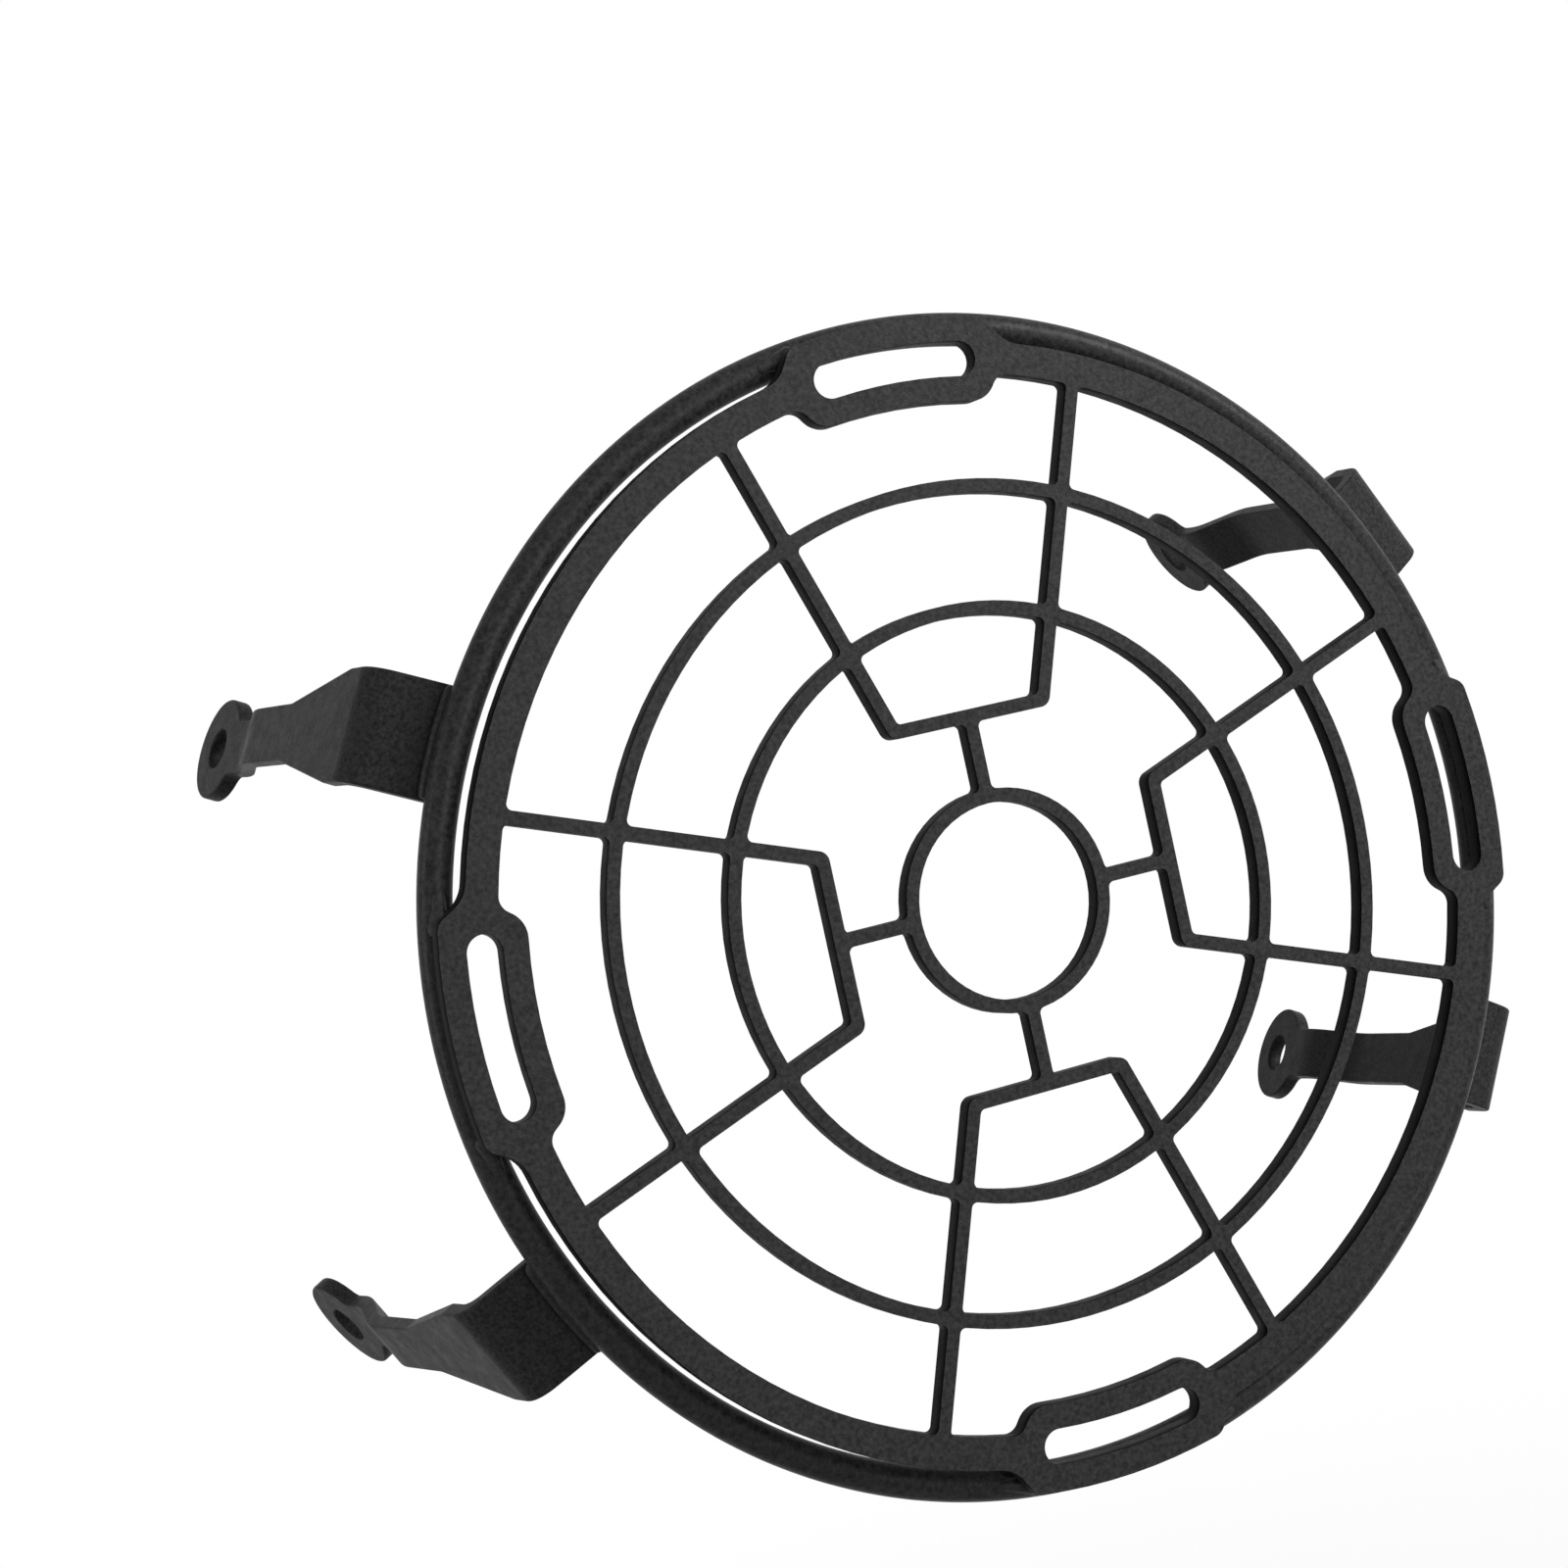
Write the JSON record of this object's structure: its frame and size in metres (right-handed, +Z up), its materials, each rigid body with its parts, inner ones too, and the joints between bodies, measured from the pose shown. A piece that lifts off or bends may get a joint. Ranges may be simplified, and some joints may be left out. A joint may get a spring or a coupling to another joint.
{
  "type": "motorcycle headlight guard",
  "caption": "Round steel grille guard for a motorcycle headlamp, on a rod hoop with bent straps that end in drilled eyes.",
  "frame": {"origin": "on the guard's axis, in the plane of the grille plate's back face, where the hoop touches it", "axes": "+Y along the guard's axis towards the lamp, so that the grille faces -Y; +Z up; +X to the right as seen from the front"},
  "size_m": [0.1894, 0.0934, 0.175],
  "materials": {
    "black_powder_coat": "satin black powder coat with a fine texture"
  },
  "bodies": {
    "root": {"grille_plate": "black_powder_coat", "hoop": "black_powder_coat", "strap_right_upper": "black_powder_coat", "strap_left_upper": "black_powder_coat", "strap_left_lower": "black_powder_coat", "strap_right_lower": "black_powder_coat", "strap_weld_outer_right_upper": "black_powder_coat", "strap_weld_outer_left_upper": "black_powder_coat", "strap_weld_outer_left_lower": "black_powder_coat", "strap_weld_outer_right_lower": "black_powder_coat", "strap_weld_inner_right_upper": "black_powder_coat", "strap_weld_inner_left_upper": "black_powder_coat", "strap_weld_inner_left_lower": "black_powder_coat", "strap_weld_inner_right_lower": "black_powder_coat", "tab_weld_top_left": "black_powder_coat", "tab_weld_top_right": "black_powder_coat", "tab_weld_right_upper": "black_powder_coat", "tab_weld_right_lower": "black_powder_coat", "tab_weld_bottom_left": "black_powder_coat", "tab_weld_bottom_right": "black_powder_coat", "tab_weld_left_upper": "black_powder_coat", "tab_weld_left_lower": "black_powder_coat"}
  },
  "joints": []
}
